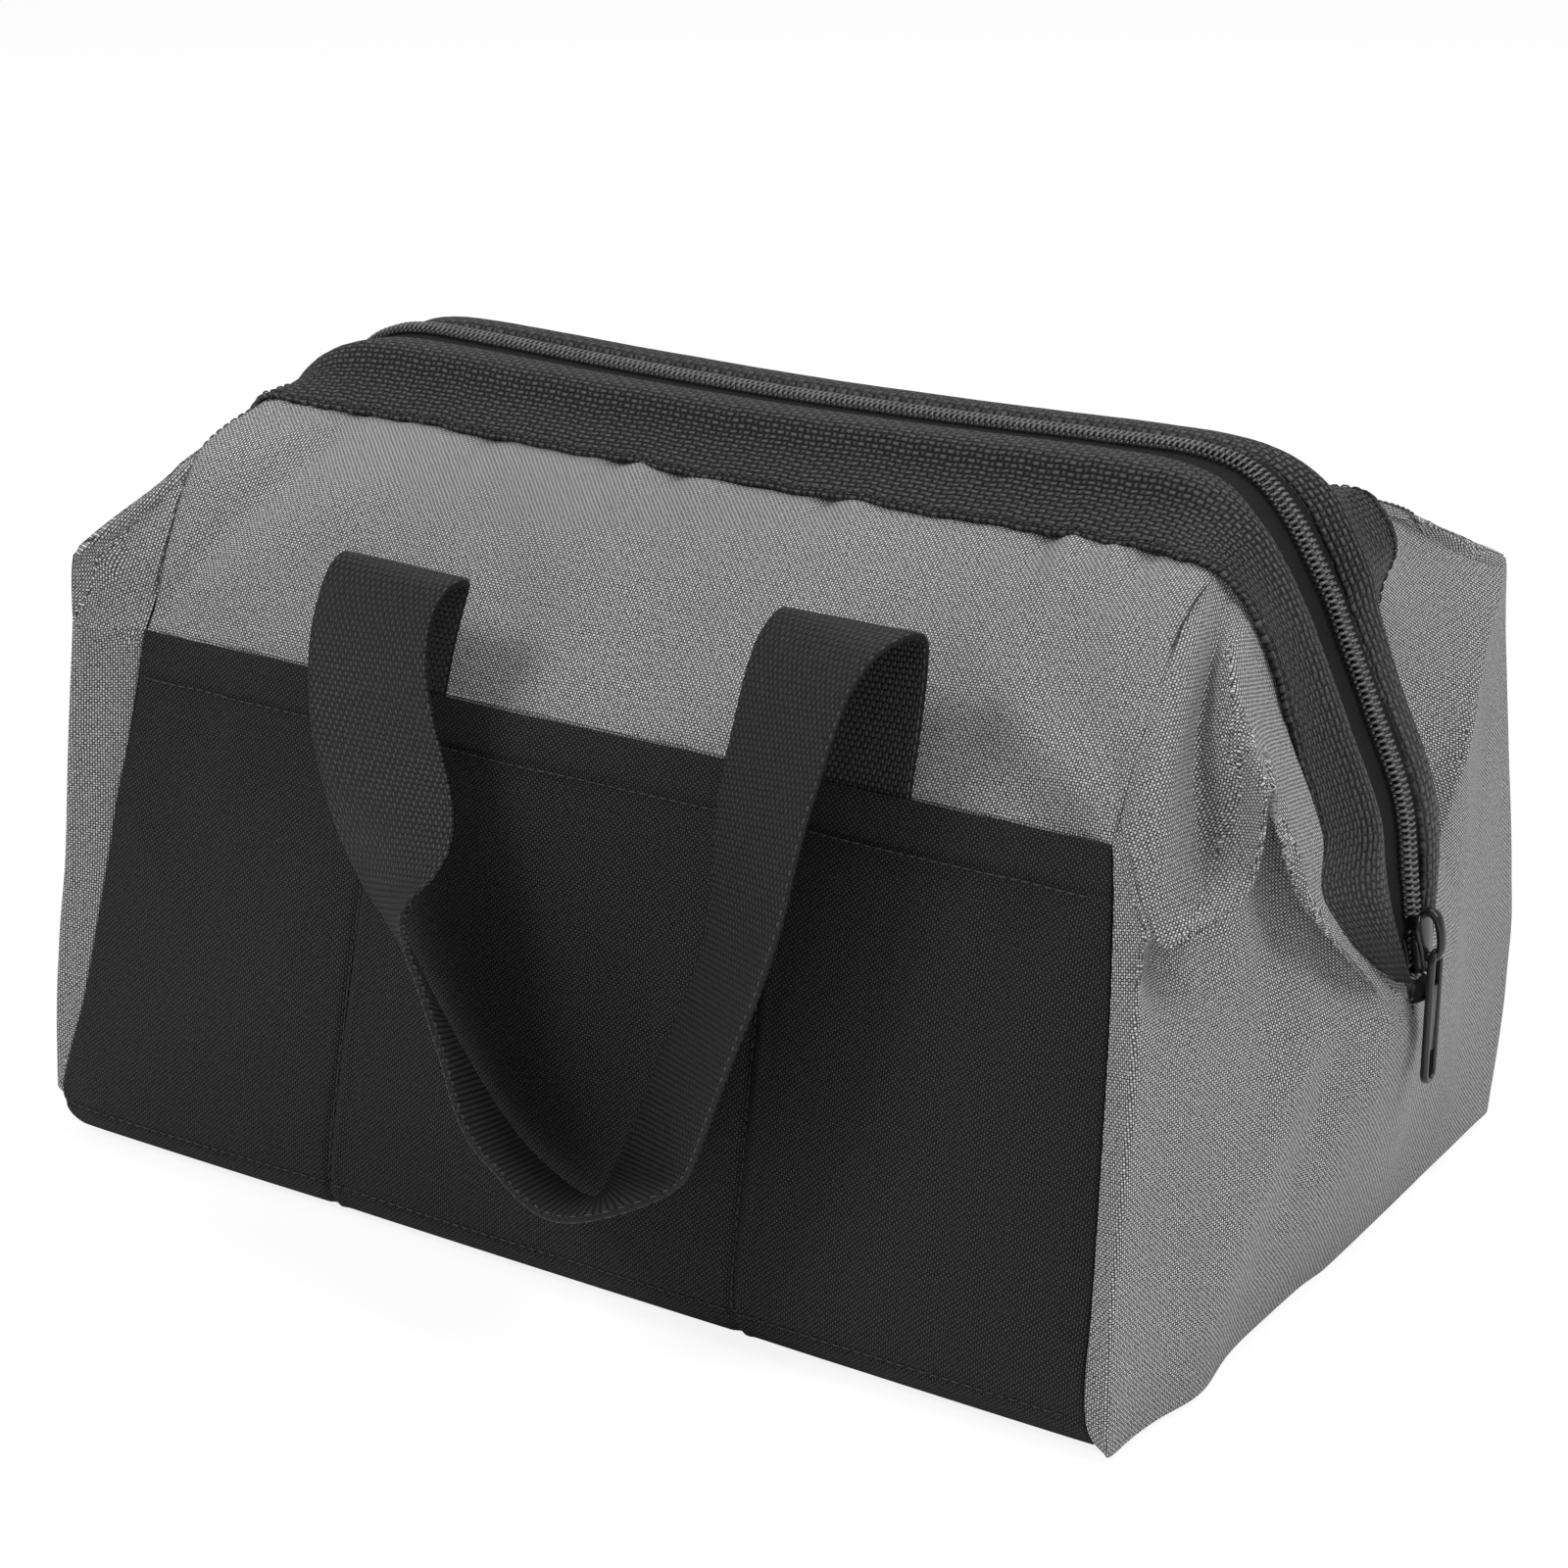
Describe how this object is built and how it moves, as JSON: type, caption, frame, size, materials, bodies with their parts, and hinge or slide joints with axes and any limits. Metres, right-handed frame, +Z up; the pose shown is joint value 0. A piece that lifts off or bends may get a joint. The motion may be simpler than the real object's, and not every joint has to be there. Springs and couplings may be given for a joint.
{
  "type": "tool bag",
  "caption": "Wide-mouth tool bag: grey woven body with black pocket panels, webbing-bound mouth on wire frames, U-shaped zip and webbing handles",
  "frame": {"origin": "middle of the flat base, on the surface that the bag stands on", "axes": "X along the bag with the zip's slider at the +X end, -Y towards the front pockets, +Z up"},
  "size_m": [0.3672, 0.3002, 0.2082],
  "materials": {
    "grey_cloth": "matt woven polyester",
    "black_cloth": "matt woven polyester",
    "webbing": "coarse woven webbing",
    "zip_cloth": "matt zip tape",
    "zip_nylon": "satin nylon",
    "board_plastic": "plain sheet",
    "frame_steel": "bright drawn wire",
    "slider_paint": "satin black paint"
  },
  "bodies": {
    "bag": {"bottom_panel": "black_cloth", "base_board": "board_plastic", "front_panel": "grey_cloth", "back_panel": "grey_cloth", "front_pocket_panel": "black_cloth", "back_pocket_panel": "black_cloth", "front_pocket_hem": "black_cloth", "back_pocket_hem": "black_cloth", "right_end_panel": "grey_cloth", "left_end_panel": "grey_cloth", "right_front_ear": "grey_cloth", "left_front_ear": "grey_cloth", "right_back_ear": "grey_cloth", "left_back_ear": "grey_cloth", "front_slope": "grey_cloth", "back_slope": "grey_cloth", "right_zip_end": "zip_cloth", "left_zip_end": "zip_cloth", "front_left_riser": "webbing", "front_right_riser": "webbing", "back_left_riser": "webbing", "back_right_riser": "webbing", "front_left_fold": "webbing", "front_right_fold": "webbing", "back_left_fold": "webbing", "back_right_fold": "webbing"},
    "front_mouth": {"front_mouth_webbing": "webbing", "front_frame_wire": "frame_steel", "front_zip_tape": "zip_cloth", "front_zip_coil": "zip_nylon"},
    "back_mouth": {"back_mouth_webbing": "webbing", "back_frame_wire": "frame_steel", "back_zip_tape": "zip_cloth", "back_zip_coil": "zip_nylon"},
    "slider": {"zip_slider": "slider_paint"},
    "pull": {"zip_pull": "slider_paint"},
    "front_grip": {"front_handle": "webbing"},
    "back_grip": {"back_handle": "webbing"}
  },
  "joints": [
    {"name": "front_mouth_open", "type": "hinge", "parent": "bag", "child": "front_mouth", "pos_m": [0, 0, 0.084], "axis": [1, 0, 0], "range_deg": [0, 30], "deforming": ["front_slope", "right_front_ear", "left_front_ear", "front_zip_tape", "front_zip_coil", "back_zip_tape", "back_zip_coil"]},
    {"name": "back_mouth_open", "type": "hinge", "parent": "bag", "child": "back_mouth", "pos_m": [0, 0, 0.084], "axis": [-1, 0, 0], "range_deg": [0, 30], "deforming": ["back_slope", "right_back_ear", "left_back_ear", "back_zip_tape", "back_zip_coil"]},
    {"name": "slider_travel", "type": "slide", "parent": "front_mouth", "child": "slider", "axis": [-0.1698, 0, 0.9855], "range_m": [0, 0.03], "deforming": ["front_zip_tape", "front_zip_coil", "back_zip_tape", "back_zip_coil"]},
    {"name": "pull_swing", "type": "hinge", "parent": "slider", "child": "pull", "pos_m": [0.18333, 0, 0.09728], "axis": [0, -1, 0], "range_deg": [0, 160]},
    {"name": "front_handle_lift", "type": "hinge", "parent": "bag", "child": "front_grip", "pos_m": [0, -0.091, 0.168], "axis": [-1, 0, 0], "range_deg": [0, 170], "deforming": ["front_left_fold", "front_right_fold"]},
    {"name": "back_handle_lift", "type": "hinge", "parent": "bag", "child": "back_grip", "pos_m": [0, 0.091, 0.168], "axis": [1, 0, 0], "range_deg": [0, 170], "deforming": ["back_left_fold", "back_right_fold"]}
  ]
}
